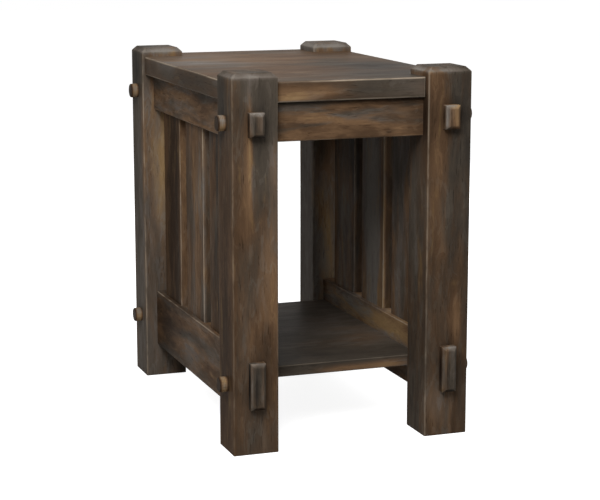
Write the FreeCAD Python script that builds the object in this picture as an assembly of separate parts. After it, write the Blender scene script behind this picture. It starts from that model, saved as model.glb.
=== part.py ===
import FreeCAD, Part
import os
from FreeCAD import Vector

# Rustic end table: square legs that rise past a notched top, side rails with bevelled through tenons,
# round pegs that pin them, three upright slats on each side, and a low shelf.
#
# Lengths are in millimetres. X runs across the table, Y from its front to its back, and Z up.
# The origin is on the floor, midway between the four legs.

# Whole table, over the outer faces of the legs
table_width = 406.0
table_depth = 610.0
table_height = 610.0

# Legs
leg_size = 76.0
leg_corner_round = 3.0
leg_top_bevel = 7.5
leg_foot_bevel = 1.0

# Top board, set in a little from the legs' outer faces and notched around them
leg_rise = 15.5
top_thickness = 32.5
top_front_setback = 10.0
top_back_setback = 2.0
top_side_setback = 4.5
top_edge_round = 3.0
notch_gap = 0.5

# Side rails, centred on the legs, and their through tenons
rail_thickness = 34.0
rail_edge_round = 2.0
upper_rail_height = 63.0
lower_rail_height = 101.5
lower_rail_lift = 59.5
tenon_width = 25.0
upper_tenon_height = 39.0
lower_tenon_height = 76.0
lower_tenon_rise = 4.0
tenon_reach = 18.0
tenon_bevel = 5.5
mortise_clearance = 0.15

# Front and back aprons, as tall as the upper rails, on blind tenons
apron_thickness = 22.0
apron_setback = 21.0
apron_tenon_thickness = 12.0
apron_tenon_shoulder = 10.0
apron_tenon_wall = 5.5

# Slats, with stub tenons in the rails
slat_count = 3
slat_width = 101.5
slat_thickness = 19.0
slat_edge_round = 1.5
slat_tenon_thickness = 10.0
slat_tenon_shoulder = 8.0
slat_tenon_length = 12.0

# Shelf, below the lower rails' upper edges
shelf_drop = 40.5
shelf_thickness = 19.0
shelf_front_setback = 4.0
shelf_back_setback = 0.5
shelf_side_gap = 0.3
shelf_edge_round = 2.0

# Cleats that carry the shelf
cleat_size = 20.0
cleat_end_gap = 95.0
cleat_screw_shares = (0.12, 0.5, 0.88)
shelf_screw_shares = (0.3, 0.7)

# Round pegs: a thick head on the leg's face and a thinner shank through the tenon
peg_head_diameter = 25.0
peg_head_height = 13.5
peg_head_round = 2.0
peg_shank_diameter = 12.5
peg_overrun = 2.0
peg_clearance = 0.1

# Wooden buttons that hold the top down
button_length = 34.0
button_width = 30.0
button_height = 20.0
button_tongue_length = 8.0
button_tongue_thickness = 8.0
button_lip = 12.0
button_play = 2.0
side_button_shares = (0.22, 0.78)

# Countersunk wood screws
screw_shank_diameter = 4.2
screw_head_diameter = 8.4
screw_head_depth = 2.6
screw_point_length = 4.0
screw_drive_size = 2.4
screw_drive_depth = 1.4
screw_clearance = 0.05
shelf_screw_bite = 12.0
cleat_screw_bite = 16.0
button_screw_bite = 16.0

# How far a cutting shape runs past the face it cuts
cut_overrun = 5.0

# Places that the pieces share
half_width = table_width / 2
half_depth = table_depth / 2
leg_centre_x = half_width - leg_size / 2
leg_centre_y = half_depth - leg_size / 2
leg_inner_x = half_width - leg_size
leg_inner_y = half_depth - leg_size
top_upper_z = table_height - leg_rise
top_lower_z = top_upper_z - top_thickness
upper_rail_low_z = top_lower_z - upper_rail_height
lower_rail_top_z = lower_rail_lift + lower_rail_height
upper_rail_z = (upper_rail_low_z + top_lower_z) / 2
lower_rail_z = (lower_rail_lift + lower_rail_top_z) / 2
rail_inner_x = leg_centre_x - rail_thickness / 2
shelf_top_z = lower_rail_top_z - shelf_drop
shelf_low_z = shelf_top_z - shelf_thickness
apron_outer_y = half_depth - apron_setback
apron_inner_y = apron_outer_y - apron_thickness
apron_tenon_length = (leg_size - tenon_width) / 2 - apron_tenon_wall

# Height of each level's side rail and of its tenon, middle of the rail, and how far the tenon lies above it
RAILS = {
    "upper": (upper_rail_height, upper_tenon_height, upper_rail_z, 0),
    "lower": (lower_rail_height, lower_tenon_height, lower_rail_z, lower_tenon_rise),
}

SIDES = {"left": -1, "right": 1}
ENDS = {"front": -1, "back": 1}
UP = Vector(0, 0, 1)


def block(centre, size):
    """Plain block about its centre."""
    return Part.makeBox(size.x, size.y, size.z, centre - size / 2)


def block_between(low, high):
    """Plain block from its low corner to its high corner, given in any order."""
    return block((low + high) / 2, Vector(abs(high.x - low.x), abs(high.y - low.y), abs(high.z - low.z)))


def edges_along(shape, direction):
    """Straight edges of a shape that run in one direction."""
    found = []
    for edge in shape.Edges:
        run = edge.Vertexes[-1].Point - edge.Vertexes[0].Point
        if run.Length > 0 and run.cross(direction).Length < run.Length / 1000:
            found.append(edge)
    return found


def rounded_board(size, direction, radius):
    """Block about the origin whose edges along one direction are rounded."""
    board = block(Vector(), size)
    return board.makeFillet(radius, edges_along(board, direction))


def wood_screw(length, spare):
    """Countersunk screw that points up from the origin, where its head's flat face lies."""
    head = screw_head_diameter / 2 + spare
    shank = screw_shank_diameter / 2 + spare
    end = length + spare
    outline = [
        Vector(0, 0, 0),
        Vector(head, 0, 0),
        Vector(shank, 0, screw_head_depth),
        Vector(shank, 0, end - screw_point_length),
        Vector(0, 0, end),
        Vector(0, 0, 0),
    ]
    return Part.Face(Part.makePolygon(outline)).revolve(Vector(), UP, 360)


def screw_with_drive(length):
    """Screw with the square recess that its driver fits."""
    recess = block(Vector(), Vector(screw_drive_size, screw_drive_size, 2 * screw_drive_depth))
    return wood_screw(length, 0).cut(recess)


def placed(shape, point, direction):
    """Copy of a shape whose +Z is turned to a direction and whose origin is moved to a point."""
    result = shape.copy()
    result.Placement = FreeCAD.Placement(point, FreeCAD.Rotation(UP, direction))
    return result


def through_tenon(height, spare):
    """Tenon along Y about the origin, through both legs of one side, with all its ends bevelled."""
    length = table_depth + 2 * tenon_reach
    tenon = block(Vector(), Vector(tenon_width + 2 * spare, length, height + 2 * spare))
    ends = [edge for edge in tenon.Edges if abs(abs(edge.CenterOfMass.y) - length / 2) < tenon_reach / 1000]
    return tenon if spare else tenon.makeChamfer(tenon_bevel, ends)


def side_rail(height, tenon_height, tenon_rise):
    """Side rail about the origin, with a through tenon at each end."""
    rail = rounded_board(Vector(rail_thickness, 2 * leg_inner_y, height), Vector(0, 1, 0), rail_edge_round)
    middle = block(Vector(), Vector(table_width, 2 * leg_inner_y, table_height))
    tenons = through_tenon(tenon_height, 0).cut(middle)
    tenons.translate(UP * tenon_rise)
    return rail.fuse(tenons).removeSplitter()


def slat_places():
    """Middle of each slat along Y: the gaps between slats and legs are all alike."""
    gap = (2 * leg_inner_y - slat_count * slat_width) / (slat_count + 1)
    first = -leg_inner_y + gap + slat_width / 2
    return [first + place * (slat_width + gap) for place in range(slat_count)]


def slat_tenon(spare):
    """Stub tenon block that runs the whole length of a slat, about the origin."""
    length = upper_rail_low_z - lower_rail_top_z + 2 * slat_tenon_length
    width = slat_width - 2 * slat_tenon_shoulder
    return block(Vector(), Vector(slat_tenon_thickness + 2 * spare, width + 2 * spare, length + 2 * spare))


def slat_centre(side, place):
    """Middle of a slat on one side."""
    return Vector(side * leg_centre_x, place, (lower_rail_top_z + upper_rail_low_z) / 2)


def make_slat():
    """Slat about the origin, with a stub tenon at each end."""
    size = Vector(slat_thickness, slat_width, upper_rail_low_z - lower_rail_top_z)
    return rounded_board(size, UP, slat_edge_round).fuse(slat_tenon(0)).removeSplitter()


def peg_solid(spare):
    """Peg that points up: the shank fills the space below the origin and the head stands on it."""
    reach = (leg_size + tenon_width) / 2 + peg_overrun
    return Part.makeCylinder(peg_shank_diameter / 2 + spare, reach + spare, Vector(0, 0, -reach - spare))


def make_peg():
    """Turned peg with a softly rounded head."""
    head = Part.makeCylinder(peg_head_diameter / 2, peg_head_height)
    rim = [edge for edge in head.Edges if edge.CenterOfMass.z > peg_head_height / 2 and edge.Closed]
    return head.makeFillet(peg_head_round, rim[:1]).fuse(peg_solid(0)).removeSplitter()


def button_seats():
    """Name, place on the rail's inner face at the top's underside, and way inwards, of each button."""
    seats = []
    for end_name, end in ENDS.items():
        seats.append(("top_button_" + end_name, Vector(0, end * apron_inner_y, top_lower_z), Vector(0, -end, 0)))
    for side_name, side in SIDES.items():
        for end_name, share in zip(ENDS, side_button_shares):
            point = Vector(side * rail_inner_x, (2 * share - 1) * leg_inner_y, top_lower_z)
            seats.append(("top_button_" + side_name + "_" + end_name, point, Vector(-side, 0, 0)))
    return seats


def make_button(point, inwards):
    """Button against the top's underside, whose tongue lies under the lip of the rail's slot."""
    across = UP.cross(inwards) * (button_width / 2)
    body = block_between(point - across, point + across + inwards * button_length - UP * button_height)
    tongue_top = point - UP * button_lip
    low = tongue_top - across - inwards * button_tongue_length
    high = tongue_top + across + inwards * (button_length / 2) - UP * button_tongue_thickness
    return body.fuse(block_between(low, high)).removeSplitter()


def button_slot(point, inwards):
    """Slot in a rail for a button's tongue, with room for the wood to move."""
    across = UP.cross(inwards) * (button_width / 2 + button_play)
    slot_top = point - UP * button_lip
    low = slot_top - across - inwards * (button_tongue_length + button_play)
    high = slot_top + across + inwards * cut_overrun - UP * (button_tongue_thickness + button_play)
    return block_between(low, high)


def cleat_length():
    """Length of a shelf cleat."""
    return 2 * (leg_inner_y - cleat_end_gap)


def screws_along_cleat(side, shares, upright):
    """Head point and direction of each screw through a cleat: up into the shelf or out into the rail."""
    found = []
    for share in shares:
        place = (share - 1 / 2) * cleat_length()
        if upright:
            point = Vector(side * (rail_inner_x - cleat_size / 2), place, shelf_low_z - cleat_size)
            found.append((point, UP))
        else:
            point = Vector(side * (rail_inner_x - cleat_size), place, shelf_low_z - cleat_size / 2)
            found.append((point, Vector(side, 0, 0)))
    return found


def button_screw_places():
    """Head point and direction of the screw through each button."""
    found = []
    for name, point, inwards in button_seats():
        found.append((point + inwards * (button_length / 2) - UP * button_height, UP))
    return found


def both_sides(shares, upright):
    """Screw places on the left and right cleats together."""
    return [place for side in SIDES.values() for place in screws_along_cleat(side, shares, upright)]


screw_rows = {
    "shelf_screws": (both_sides(shelf_screw_shares, True), cleat_size + shelf_screw_bite),
    "cleat_screws": (both_sides(cleat_screw_shares, False), cleat_size + cleat_screw_bite),
    "button_screws": (button_screw_places(), button_height + button_screw_bite),
}


def without_screw_holes(shape, *rows):
    """A piece with the holes of the named screws cut in it."""
    for row in rows:
        places, length = screw_rows[row]
        for point, direction in places:
            shape = shape.cut(placed(wood_screw(length, screw_clearance), point, direction))
    return shape


def make_leg(side, end):
    """Leg with bevelled top, mortises for both side rails and the apron, and two peg holes."""
    centre = Vector(side * leg_centre_x, end * leg_centre_y, table_height / 2)
    size = Vector(leg_size, leg_size, table_height)
    sharp = block(Vector(), size)
    upper = [edge for edge in sharp.Edges if edge.CenterOfMass.z > (table_height - leg_size) / 2]
    sharp = sharp.makeChamfer(leg_top_bevel, upper)
    lower = [edge for edge in sharp.Edges if edge.CenterOfMass.z < -(table_height - leg_foot_bevel) / 2]
    sharp = sharp.makeChamfer(leg_foot_bevel, lower)
    leg = sharp.common(rounded_board(size, UP, leg_corner_round))
    leg.translate(centre)
    for height, tenon_height, middle, tenon_rise in RAILS.values():
        mortise = through_tenon(tenon_height, mortise_clearance)
        mortise.translate(Vector(side * leg_centre_x, 0, middle + tenon_rise))
        outer_face = Vector(side * half_width, end * leg_centre_y, middle)
        peg_hole = placed(peg_solid(peg_clearance), outer_face, Vector(side, 0, 0))
        leg = leg.cut(mortise).cut(peg_hole)
    return leg.cut(apron_tenon(end, mortise_clearance))


def apron_tenon(end, spare):
    """Bar that holds both blind tenons of one apron, or their mortises."""
    length = 2 * (leg_inner_x + apron_tenon_length + spare)
    thickness = apron_tenon_thickness + 2 * spare
    height = upper_rail_height - 2 * apron_tenon_shoulder + 2 * spare
    centre = Vector(0, end * (apron_outer_y + apron_inner_y) / 2, upper_rail_z)
    return block(centre, Vector(length, thickness, height))


def make_apron(end):
    """Front or back apron between the legs, slotted for its button."""
    size = Vector(2 * leg_inner_x, apron_thickness, upper_rail_height)
    board = rounded_board(size, Vector(1, 0, 0), rail_edge_round)
    board.translate(Vector(0, end * (apron_outer_y + apron_inner_y) / 2, upper_rail_z))
    board = board.fuse(apron_tenon(end, 0)).removeSplitter()
    for name, point, inwards in button_seats():
        if abs(point.x) < apron_thickness and point.y * end > 0:
            board = board.cut(button_slot(point, inwards))
    return board


def make_side_rail(side, level):
    """Side rail in its place, with the slats' mortises and the pegs' holes."""
    height, tenon_height, middle, tenon_rise = RAILS[level]
    rail = side_rail(height, tenon_height, tenon_rise)
    rail.translate(Vector(side * leg_centre_x, 0, middle))
    for place in slat_places():
        mortise = slat_tenon(mortise_clearance)
        mortise.translate(slat_centre(side, place))
        rail = rail.cut(mortise)
    for end in ENDS.values():
        outer_face = Vector(side * half_width, end * leg_centre_y, middle)
        rail = rail.cut(placed(peg_solid(peg_clearance), outer_face, Vector(side, 0, 0)))
    return rail


def make_upper_rail(side):
    """Upper side rail, slotted for its buttons."""
    rail = make_side_rail(side, "upper")
    for name, point, inwards in button_seats():
        if point.x * side > leg_centre_x / 2:
            rail = rail.cut(button_slot(point, inwards))
    return rail


def make_lower_rail(side):
    """Lower side rail, drilled for the cleat's screws."""
    rail = make_side_rail(side, "lower")
    return without_screw_holes(rail, "cleat_screws")


def make_top():
    """Top board, notched around the legs, with its outer edges rounded."""
    outer_x = half_width - top_side_setback
    front_y = half_depth - top_front_setback
    back_y = half_depth - top_back_setback
    top = block_between(Vector(-outer_x, -front_y, top_lower_z), Vector(outer_x, back_y, top_upper_z))
    for side in SIDES.values():
        for end in ENDS.values():
            low = Vector(side * (leg_inner_x - notch_gap), end * (leg_inner_y - notch_gap), top_lower_z)
            high = Vector(side * table_width, end * table_depth, top_upper_z)
            top = top.cut(block_between(low - UP * cut_overrun, high + UP * cut_overrun))
    rounded = []
    for edge in top.Edges:
        middle = edge.CenterOfMass
        on_side = abs(middle.x) > outer_x - top_edge_round
        on_end = middle.y < top_edge_round - front_y or middle.y > back_y - top_edge_round
        if on_side or on_end:
            rounded.append(edge)
    top = top.makeFillet(top_edge_round, rounded)
    return without_screw_holes(top, "button_screws")


def make_shelf():
    """Shelf between the lower rails, lying on its cleats."""
    front_y = leg_inner_y - shelf_front_setback
    back_y = leg_inner_y - shelf_back_setback
    size = Vector(2 * (rail_inner_x - shelf_side_gap), front_y + back_y, shelf_thickness)
    shelf = rounded_board(size, Vector(1, 0, 0), shelf_edge_round)
    shelf.translate(Vector(0, (back_y - front_y) / 2, shelf_top_z - shelf_thickness / 2))
    return without_screw_holes(shelf, "shelf_screws")


def make_cleat(side):
    """Square strip on a lower rail's inner face, under the shelf."""
    centre = Vector(side * (rail_inner_x - cleat_size / 2), 0, shelf_low_z - cleat_size / 2)
    cleat = block(centre, Vector(cleat_size, cleat_length(), cleat_size))
    return without_screw_holes(cleat, "shelf_screws", "cleat_screws")


pieces = {"top": make_top(), "shelf": make_shelf()}
for end_name, end in ENDS.items():
    pieces["apron_" + end_name] = make_apron(end)
    for side_name, side in SIDES.items():
        pieces["leg_" + end_name + "_" + side_name] = make_leg(side, end)
        for level, (height, tenon_height, middle, tenon_rise) in RAILS.items():
            outer_face = Vector(side * half_width, end * leg_centre_y, middle)
            peg = placed(make_peg(), outer_face, Vector(side, 0, 0))
            pieces["peg_" + end_name + "_" + side_name + "_" + level] = peg

for side_name, side in SIDES.items():
    pieces["rail_upper_" + side_name] = make_upper_rail(side)
    pieces["rail_lower_" + side_name] = make_lower_rail(side)
    pieces["shelf_cleat_" + side_name] = make_cleat(side)
    for number, place in enumerate(slat_places(), 1):
        slat = make_slat()
        slat.translate(slat_centre(side, place))
        pieces["slat_" + side_name + "_" + str(number)] = slat

for name, point, inwards in button_seats():
    pieces[name] = without_screw_holes(make_button(point, inwards), "button_screws")
for row, (places, length) in screw_rows.items():
    pieces[row] = Part.makeCompound([placed(screw_with_drive(length), *place) for place in places])

os.makedirs("parts", exist_ok=True)
for name, shape in pieces.items():
    shape.exportStep("parts/" + name + ".step")
    print(name, len(shape.Solids), "solid", "valid" if shape.isValid() else "NOT VALID")
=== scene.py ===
import math
import bmesh
import bpy
import numpy as np
from mathutils import Matrix, Vector


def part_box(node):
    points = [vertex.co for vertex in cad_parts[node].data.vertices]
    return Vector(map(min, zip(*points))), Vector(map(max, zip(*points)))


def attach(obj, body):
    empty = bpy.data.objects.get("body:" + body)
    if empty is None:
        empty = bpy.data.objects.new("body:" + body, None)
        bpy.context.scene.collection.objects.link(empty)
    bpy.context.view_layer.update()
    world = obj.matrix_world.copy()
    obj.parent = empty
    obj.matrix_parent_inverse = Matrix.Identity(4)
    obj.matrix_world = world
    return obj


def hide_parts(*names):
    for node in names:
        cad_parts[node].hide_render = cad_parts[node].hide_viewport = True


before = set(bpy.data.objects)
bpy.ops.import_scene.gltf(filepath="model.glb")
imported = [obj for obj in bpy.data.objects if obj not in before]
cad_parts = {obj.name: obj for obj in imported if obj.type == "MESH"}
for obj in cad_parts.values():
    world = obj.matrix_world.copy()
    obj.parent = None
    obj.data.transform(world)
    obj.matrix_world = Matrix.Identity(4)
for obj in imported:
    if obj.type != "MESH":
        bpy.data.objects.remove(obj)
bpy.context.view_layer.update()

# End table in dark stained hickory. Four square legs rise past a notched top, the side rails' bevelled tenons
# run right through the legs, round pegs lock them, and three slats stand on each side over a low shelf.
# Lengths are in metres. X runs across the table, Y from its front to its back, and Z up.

# Legs: square posts of solid hickory, 3 inches thick, sawn and planed, with a broad flat bevel at the top.
# Their long corners are eased by hand. The aprons and side rails are tenoned into them.
# Each is made from a sharp block, whose edges are rounded and whose wood is then marked on the mesh.

MM = 0.001
LEG_CORNER_ROUND = 3.0 * MM
LEG_END_ROUND = 1.1 * MM
LEG_TOP_BEVEL = 7.5 * MM
MARKED_CELL = 6.0 * MM
SMOOTH_ANGLE = math.radians(35)
ROUNDING_STEPS = 4
# Lean of a rounded face from the sharp ones where its pale edge begins, and from there to full strength.
# The pale edge is partly wear and partly a painted highlight.
PALE_EDGE_FROM = 0.02
PALE_EDGE_RANGE = 0.15
# Steps through the log from seed to seed, and from board to board of one piece
LOG_STEP = np.array([0.713, 0.391, 0.577])
BOARD_STEP = (0.83, 0.29, 0.47)
BENDS_PER_METRE = (5.0, 14.0, 14.0)
BEND_REACH = (0.0, 22.0 * MM, 22.0 * MM)
GRAIN_RELIEF = 0.6 * MM
# Middle of a leg, in mm
LEG_X, LEG_Y = 165, 267

# Shades of the stain, from the darkest at 0 to the lightest at 0.9. A ramp's own two stops come first.
COOL_STAIN = ((0.0, "#1d1a18"), (0.9, "#736d66"), (0.2, "#2d2925"), (0.45, "#453e36"), (0.65, "#5a524b"))
WARM_STAIN = ((0.0, "#221811"), (0.9, "#8a7150"), (0.2, "#32261c"), (0.45, "#4f3c2c"), (0.65, "#6a523c"))
OCHRE_VEIN = "#8c7448"
# Pale colour of rubbed edges, which is partly wear and partly a painted highlight
RUBBED_AND_HIGHLIT_EDGE = "#8f8272"


def linear(hex_colour):
    """Linear colour of an sRGB hex value."""
    shares = [int(hex_colour[place:place + 2], 16) / 255 for place in (1, 3, 5)]
    shares = [share / 12.92 if share <= 0.04045 else ((share + 0.055) / 1.055) ** 2.4 for share in shares]
    return (*shares, 1.0)


def add(tree, kind, inputs=None, **settings):
    """A node with its settings, and with values or links on its inputs."""
    made = tree.nodes.new(kind)
    for name, value in settings.items():
        setattr(made, name, value)
    for key, value in (inputs or {}).items():
        if isinstance(value, bpy.types.NodeSocket):
            tree.links.new(value, made.inputs[key])
        else:
            made.inputs[key].default_value = value
    return made


def empty_material(name):
    """A material with no nodes yet."""
    material = bpy.data.materials.new(name)
    material.use_nodes = True
    material.node_tree.nodes.clear()
    return material


def stained_wood(name, roughness=0.46, spread=1.0, figured=1.0, gloss_level=0.004, cad_way=None):
    """Planed hickory, ring porous and tough, under a dark stain that was wiped on and a thin dull varnish.

    The eye gets charcoal and brown streaks along the grain, a few ochre veins, open pores, short dark checks,
    rubbed pale edges that are partly a painted highlight, and hardly any sheen. The spread widens the streaks
    on broad boards, and figured says how strongly they show. A CAD piece has no marks, so its grain runs
    along X, turned by cad_way."""
    material = empty_material(name)
    tree = material.node_tree
    if cad_way is None:
        place = add(tree, "ShaderNodeAttribute", attribute_name="log_place").outputs["Vector"]
    else:
        on_piece = add(tree, "ShaderNodeTexCoord").outputs["Object"]
        place = add(tree, "ShaderNodeMapping", {"Vector": on_piece, "Rotation": cad_way}).outputs[0]

    # The grain wanders a few millimetres from side to side
    wander = add(tree, "ShaderNodeVectorMath", {0: place, 1: BENDS_PER_METRE}, operation="MULTIPLY")
    wander = add(tree, "ShaderNodeTexNoise", {"Vector": wander.outputs[0], "Scale": 1.0, "Detail": 2.0})
    shift = add(tree, "ShaderNodeVectorMath", {
        0: wander.outputs["Color"], 1: (-0.5, -0.5, -0.5)}, operation="ADD")
    shift = add(tree, "ShaderNodeVectorMath", {0: shift.outputs[0], 1: BEND_REACH}, operation="MULTIPLY")
    bent = add(tree, "ShaderNodeVectorMath", {0: place, 1: shift.outputs[0]}, operation="ADD").outputs[0]

    def streaks(length, width, detail, offset=0.0, curl=0.0):
        """Noise drawn out along the grain, with the length and width of its streaks in millimetres."""
        scaled = add(tree, "ShaderNodeVectorMath", {
            0: bent, 1: (1000 / length, 1000 / width, 1000 / width), 2: (offset, offset, offset)},
            operation="MULTIPLY_ADD")
        return add(tree, "ShaderNodeTexNoise", {
            "Vector": scaled.outputs[0], "Scale": 1.0, "Detail": detail, "Roughness": 0.55,
            "Distortion": curl}).outputs["Fac"]

    def blended(parts, start=0.0):
        """Sum of values, each times its share."""
        total = start
        for value, share in parts:
            total = add(tree, "ShaderNodeMath", {
                0: value, 1: share, 2: total}, operation="MULTIPLY_ADD").outputs[0]
        return total

    # Stain soaks in by the growth rings' broad figure and curls. The lines are early wood, 3 mm apart.
    # Real pores are 0.3 mm wide, and are drawn at 0.7 mm so that they show. Here and there the wood has
    # short, fine drying checks that hold dark stain: 0.5 mm wide on real boards, they are drawn at 2 mm.
    figure = streaks(200, 36 * spread, 4.0, 0.0, 0.45)
    curls = streaks(50 * spread, 14 * spread, 3.0, 7.3, 0.7)
    lines = streaks(70, 3.0, 1.5, 3.1)
    pores = streaks(9, 0.7, 1.0, 5.7)
    checks = streaks(34, 2.0, 2.0, 21.7, 0.4)
    hue = streaks(180, 32 * spread, 4.0, 11.9, 0.45)
    veins = streaks(420, 50 * spread, 2.5, 4.4, 0.2)
    flakes = add(tree, "ShaderNodeMapRange", {
        0: streaks(44 * spread, 13 * spread, 5.0, 15.3, 1.0), 1: 0.535, 2: 0.575},
        interpolation_type="SMOOTHSTEP").outputs[0]
    tone, warmth, worn_and_highlit = [add(tree, "ShaderNodeAttribute", attribute_name=mark).outputs["Fac"]
                          for mark in ("tone", "warmth", "worn_and_highlit")]

    # Colour: a cool and a warm stain, each from dark to light, then veins, pores, checks, and rubbed edges
    # that are partly a painted highlight
    patches = add(tree, "ShaderNodeMapRange", {
        0: blended([(figure, 0.8), (curls, 0.2), (tone, 0.12)]), 1: 0.41, 2: 0.57},
        interpolation_type="SMOOTHSTEP").outputs[0]
    plain = 1 - figured
    shade_of = blended([(patches, 0.1 * figured), (figure, 0.36 * figured), (curls, 0.22 * figured),
                        (lines, 0.09), (flakes, 0.06), (tone, 0.45)], 0.075 + 0.34 * plain)
    stains = []
    for stops in (COOL_STAIN, WARM_STAIN):
        ramp = add(tree, "ShaderNodeValToRGB", {"Fac": shade_of})
        for number, (where, colour) in enumerate(stops):
            stop = ramp.color_ramp.elements[number] if number < 2 else ramp.color_ramp.elements.new(where)
            stop.position = where
            stop.color = linear(colour)
        stains.append(ramp.outputs[0])
    hue_of = add(tree, "ShaderNodeMapRange", {
        0: blended([(hue, 0.85 * figured), (curls, 0.15 * figured), (flakes, -0.04), (warmth, 0.11)],
                   0.01 + 0.5 * plain), 1: 0.36, 2: 0.6}, interpolation_type="SMOOTHSTEP")
    stained = add(tree, "ShaderNodeMix", {0: hue_of.outputs[0], 6: stains[0], 7: stains[1]}, data_type="RGBA")
    from_vein = add(tree, "ShaderNodeMath", {0: veins, 1: 0.5}, operation="SUBTRACT")
    from_vein = add(tree, "ShaderNodeMath", {0: from_vein.outputs[0]}, operation="ABSOLUTE")
    vein = add(tree, "ShaderNodeMapRange", {
        0: from_vein.outputs[0], 1: 0.004, 2: 0.034, 3: 1.0, 4: 0.0}, interpolation_type="SMOOTHSTEP")
    vein_here = add(tree, "ShaderNodeMapRange", {
        0: blended([(hue, 0.5), (curls, 0.5), (warmth, 0.02)]), 1: 0.54, 2: 0.66, 3: 0.0, 4: 0.16},
        interpolation_type="SMOOTHSTEP")
    ochre = add(tree, "ShaderNodeMath", {0: vein.outputs[0], 1: vein_here.outputs[0]}, operation="MULTIPLY")
    stained = add(tree, "ShaderNodeMix", {
        0: ochre.outputs[0], 6: stained.outputs[2], 7: linear(OCHRE_VEIN)}, data_type="RGBA")
    pored = add(tree, "ShaderNodeMapRange", {0: pores, 1: 0.33, 2: 0.45, 3: 0.88, 4: 1.0})
    checked = add(tree, "ShaderNodeMapRange", {0: checks, 1: 0.3, 2: 0.37, 3: 0.55, 4: 1.0})
    held = add(tree, "ShaderNodeMath", {0: pored.outputs[0], 1: checked.outputs[0]}, operation="MULTIPLY")
    darkened = add(tree, "ShaderNodeVectorMath", {
        0: stained.outputs[2], 1: held.outputs[0]}, operation="MULTIPLY")
    chance = add(tree, "ShaderNodeMapRange", {
        0: blended([(figure, 0.5), (curls, 0.5)]), 1: 0.42, 2: 0.6, 3: 0.12, 4: 0.75},
        interpolation_type="SMOOTHSTEP")
    rubbed_and_highlit = add(tree, "ShaderNodeMath", {0: worn_and_highlit, 1: chance.outputs[0]}, operation="MULTIPLY")
    colour = add(tree, "ShaderNodeMix", {
        0: rubbed_and_highlit.outputs[0], 6: darkened.outputs[0], 7: linear(RUBBED_AND_HIGHLIT_EDGE)}, data_type="RGBA")

    # Surface: the varnish has sunk into the lines and pores, so they are duller and a little lower
    gloss = blended([(curls, -0.16), (lines, 0.1), (pored.outputs[0], -0.06)], roughness + 0.08)
    height = blended([(lines, 0.4), (pored.outputs[0], 0.5), (curls, 0.8)])
    relief = add(tree, "ShaderNodeBump", {"Strength": 0.35, "Distance": GRAIN_RELIEF, "Height": height})
    shader = add(tree, "ShaderNodeBsdfPrincipled", {
        "Base Color": colour.outputs[2], "Roughness": gloss, "IOR": 1.5,
        "Specular IOR Level": gloss_level, "Normal": relief.outputs[0]})
    add(tree, "ShaderNodeOutputMaterial", {"Surface": shader.outputs[0]})
    return material


def sawn_block(low, high):
    """Sharp block between two corners."""
    block = bmesh.new()
    bmesh.ops.create_cube(block, size=1.0)
    low, high = Vector(low), Vector(high)
    for vertex in block.verts:
        vertex.co = (low + high) / 2 + vertex.co * (high - low)
    return block


def bevelled_end(block, edges, size):
    """Bevels the edges at a block's end with a flat face."""
    bmesh.ops.bevel(block, geom=edges, offset=size, offset_type="OFFSET", segments=1, profile=0.5,
                    affect="EDGES")


def in_scene(name, data):
    """Object that holds the data, in the scene."""
    holder = bpy.data.objects.new(name, data)
    bpy.context.scene.collection.objects.link(holder)
    return holder


def plain_mesh(piece):
    """The piece with its modifiers applied, as one plain mesh at the origin."""
    bpy.context.view_layer.update()
    depsgraph = bpy.context.evaluated_depsgraph_get()
    mesh = bpy.data.meshes.new_from_object(piece.evaluated_get(depsgraph), depsgraph=depsgraph)
    old = piece.data
    piece.modifiers.clear()
    piece.data = mesh
    bpy.data.meshes.remove(old)
    mesh.name = piece.name
    return piece


def eased(name, block, rounding):
    """A sharp block with each edge rounded by rounding(middle, way), and the ways its sharp faces looked."""
    sizes = []
    for edge in block.edges:
        start, end = (vertex.co for vertex in edge.verts)
        sizes.append(rounding((start + end) / 2, (end - start).normalized()))
    weight = block.edges.layers.float.new("bevel_weight_edge")
    for edge, size in zip(block.edges, sizes):
        edge[weight] = size / max(sizes)
    bmesh.ops.recalc_face_normals(block, faces=block.faces)
    flat_ways = [face.normal.copy() for face in block.faces]
    mesh = bpy.data.meshes.new(name)
    block.to_mesh(mesh)
    block.free()
    piece = in_scene(name, mesh)
    bevel = piece.modifiers.new("eased edges", "BEVEL")
    bevel.width = max(sizes)
    bevel.segments = ROUNDING_STEPS
    bevel.limit_method = "WEIGHT"
    bevel.miter_outer = "MITER_SHARP"
    return plain_mesh(piece), flat_ways


def cut_into_cells(piece):
    """Cuts a piece's faces into small cells, so that marks on its vertices are fine enough."""
    net = bmesh.new()
    net.from_mesh(piece.data)
    corners = np.array([vertex.co for vertex in net.verts])
    for axis in range(3):
        low, high = corners[:, axis].min(), corners[:, axis].max()
        count = max(1, round((high - low) / MARKED_CELL))
        way = Vector((0, 0, 0))
        way[axis] = 1
        for step in range(1, count):
            place = way * (low + (high - low) * step / count)
            geometry = net.verts[:] + net.edges[:] + net.faces[:]
            bmesh.ops.bisect_plane(net, geom=geometry, plane_co=place, plane_no=way, dist=MM / 100)
    net.to_mesh(piece.data)
    net.free()


def shade(piece):
    """Smooth shading whose flat faces stay flat."""
    net = bmesh.new()
    net.from_mesh(piece.data)
    for face in net.faces:
        face.smooth = True
    for edge in net.edges:
        edge.smooth = len(edge.link_faces) == 2 and edge.calc_face_angle() < SMOOTH_ANGLE
    net.to_mesh(piece.data)
    net.free()
    piece.modifiers.new("flat faces", "WEIGHTED_NORMAL").keep_sharp = True
    plain_mesh(piece)


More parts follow.
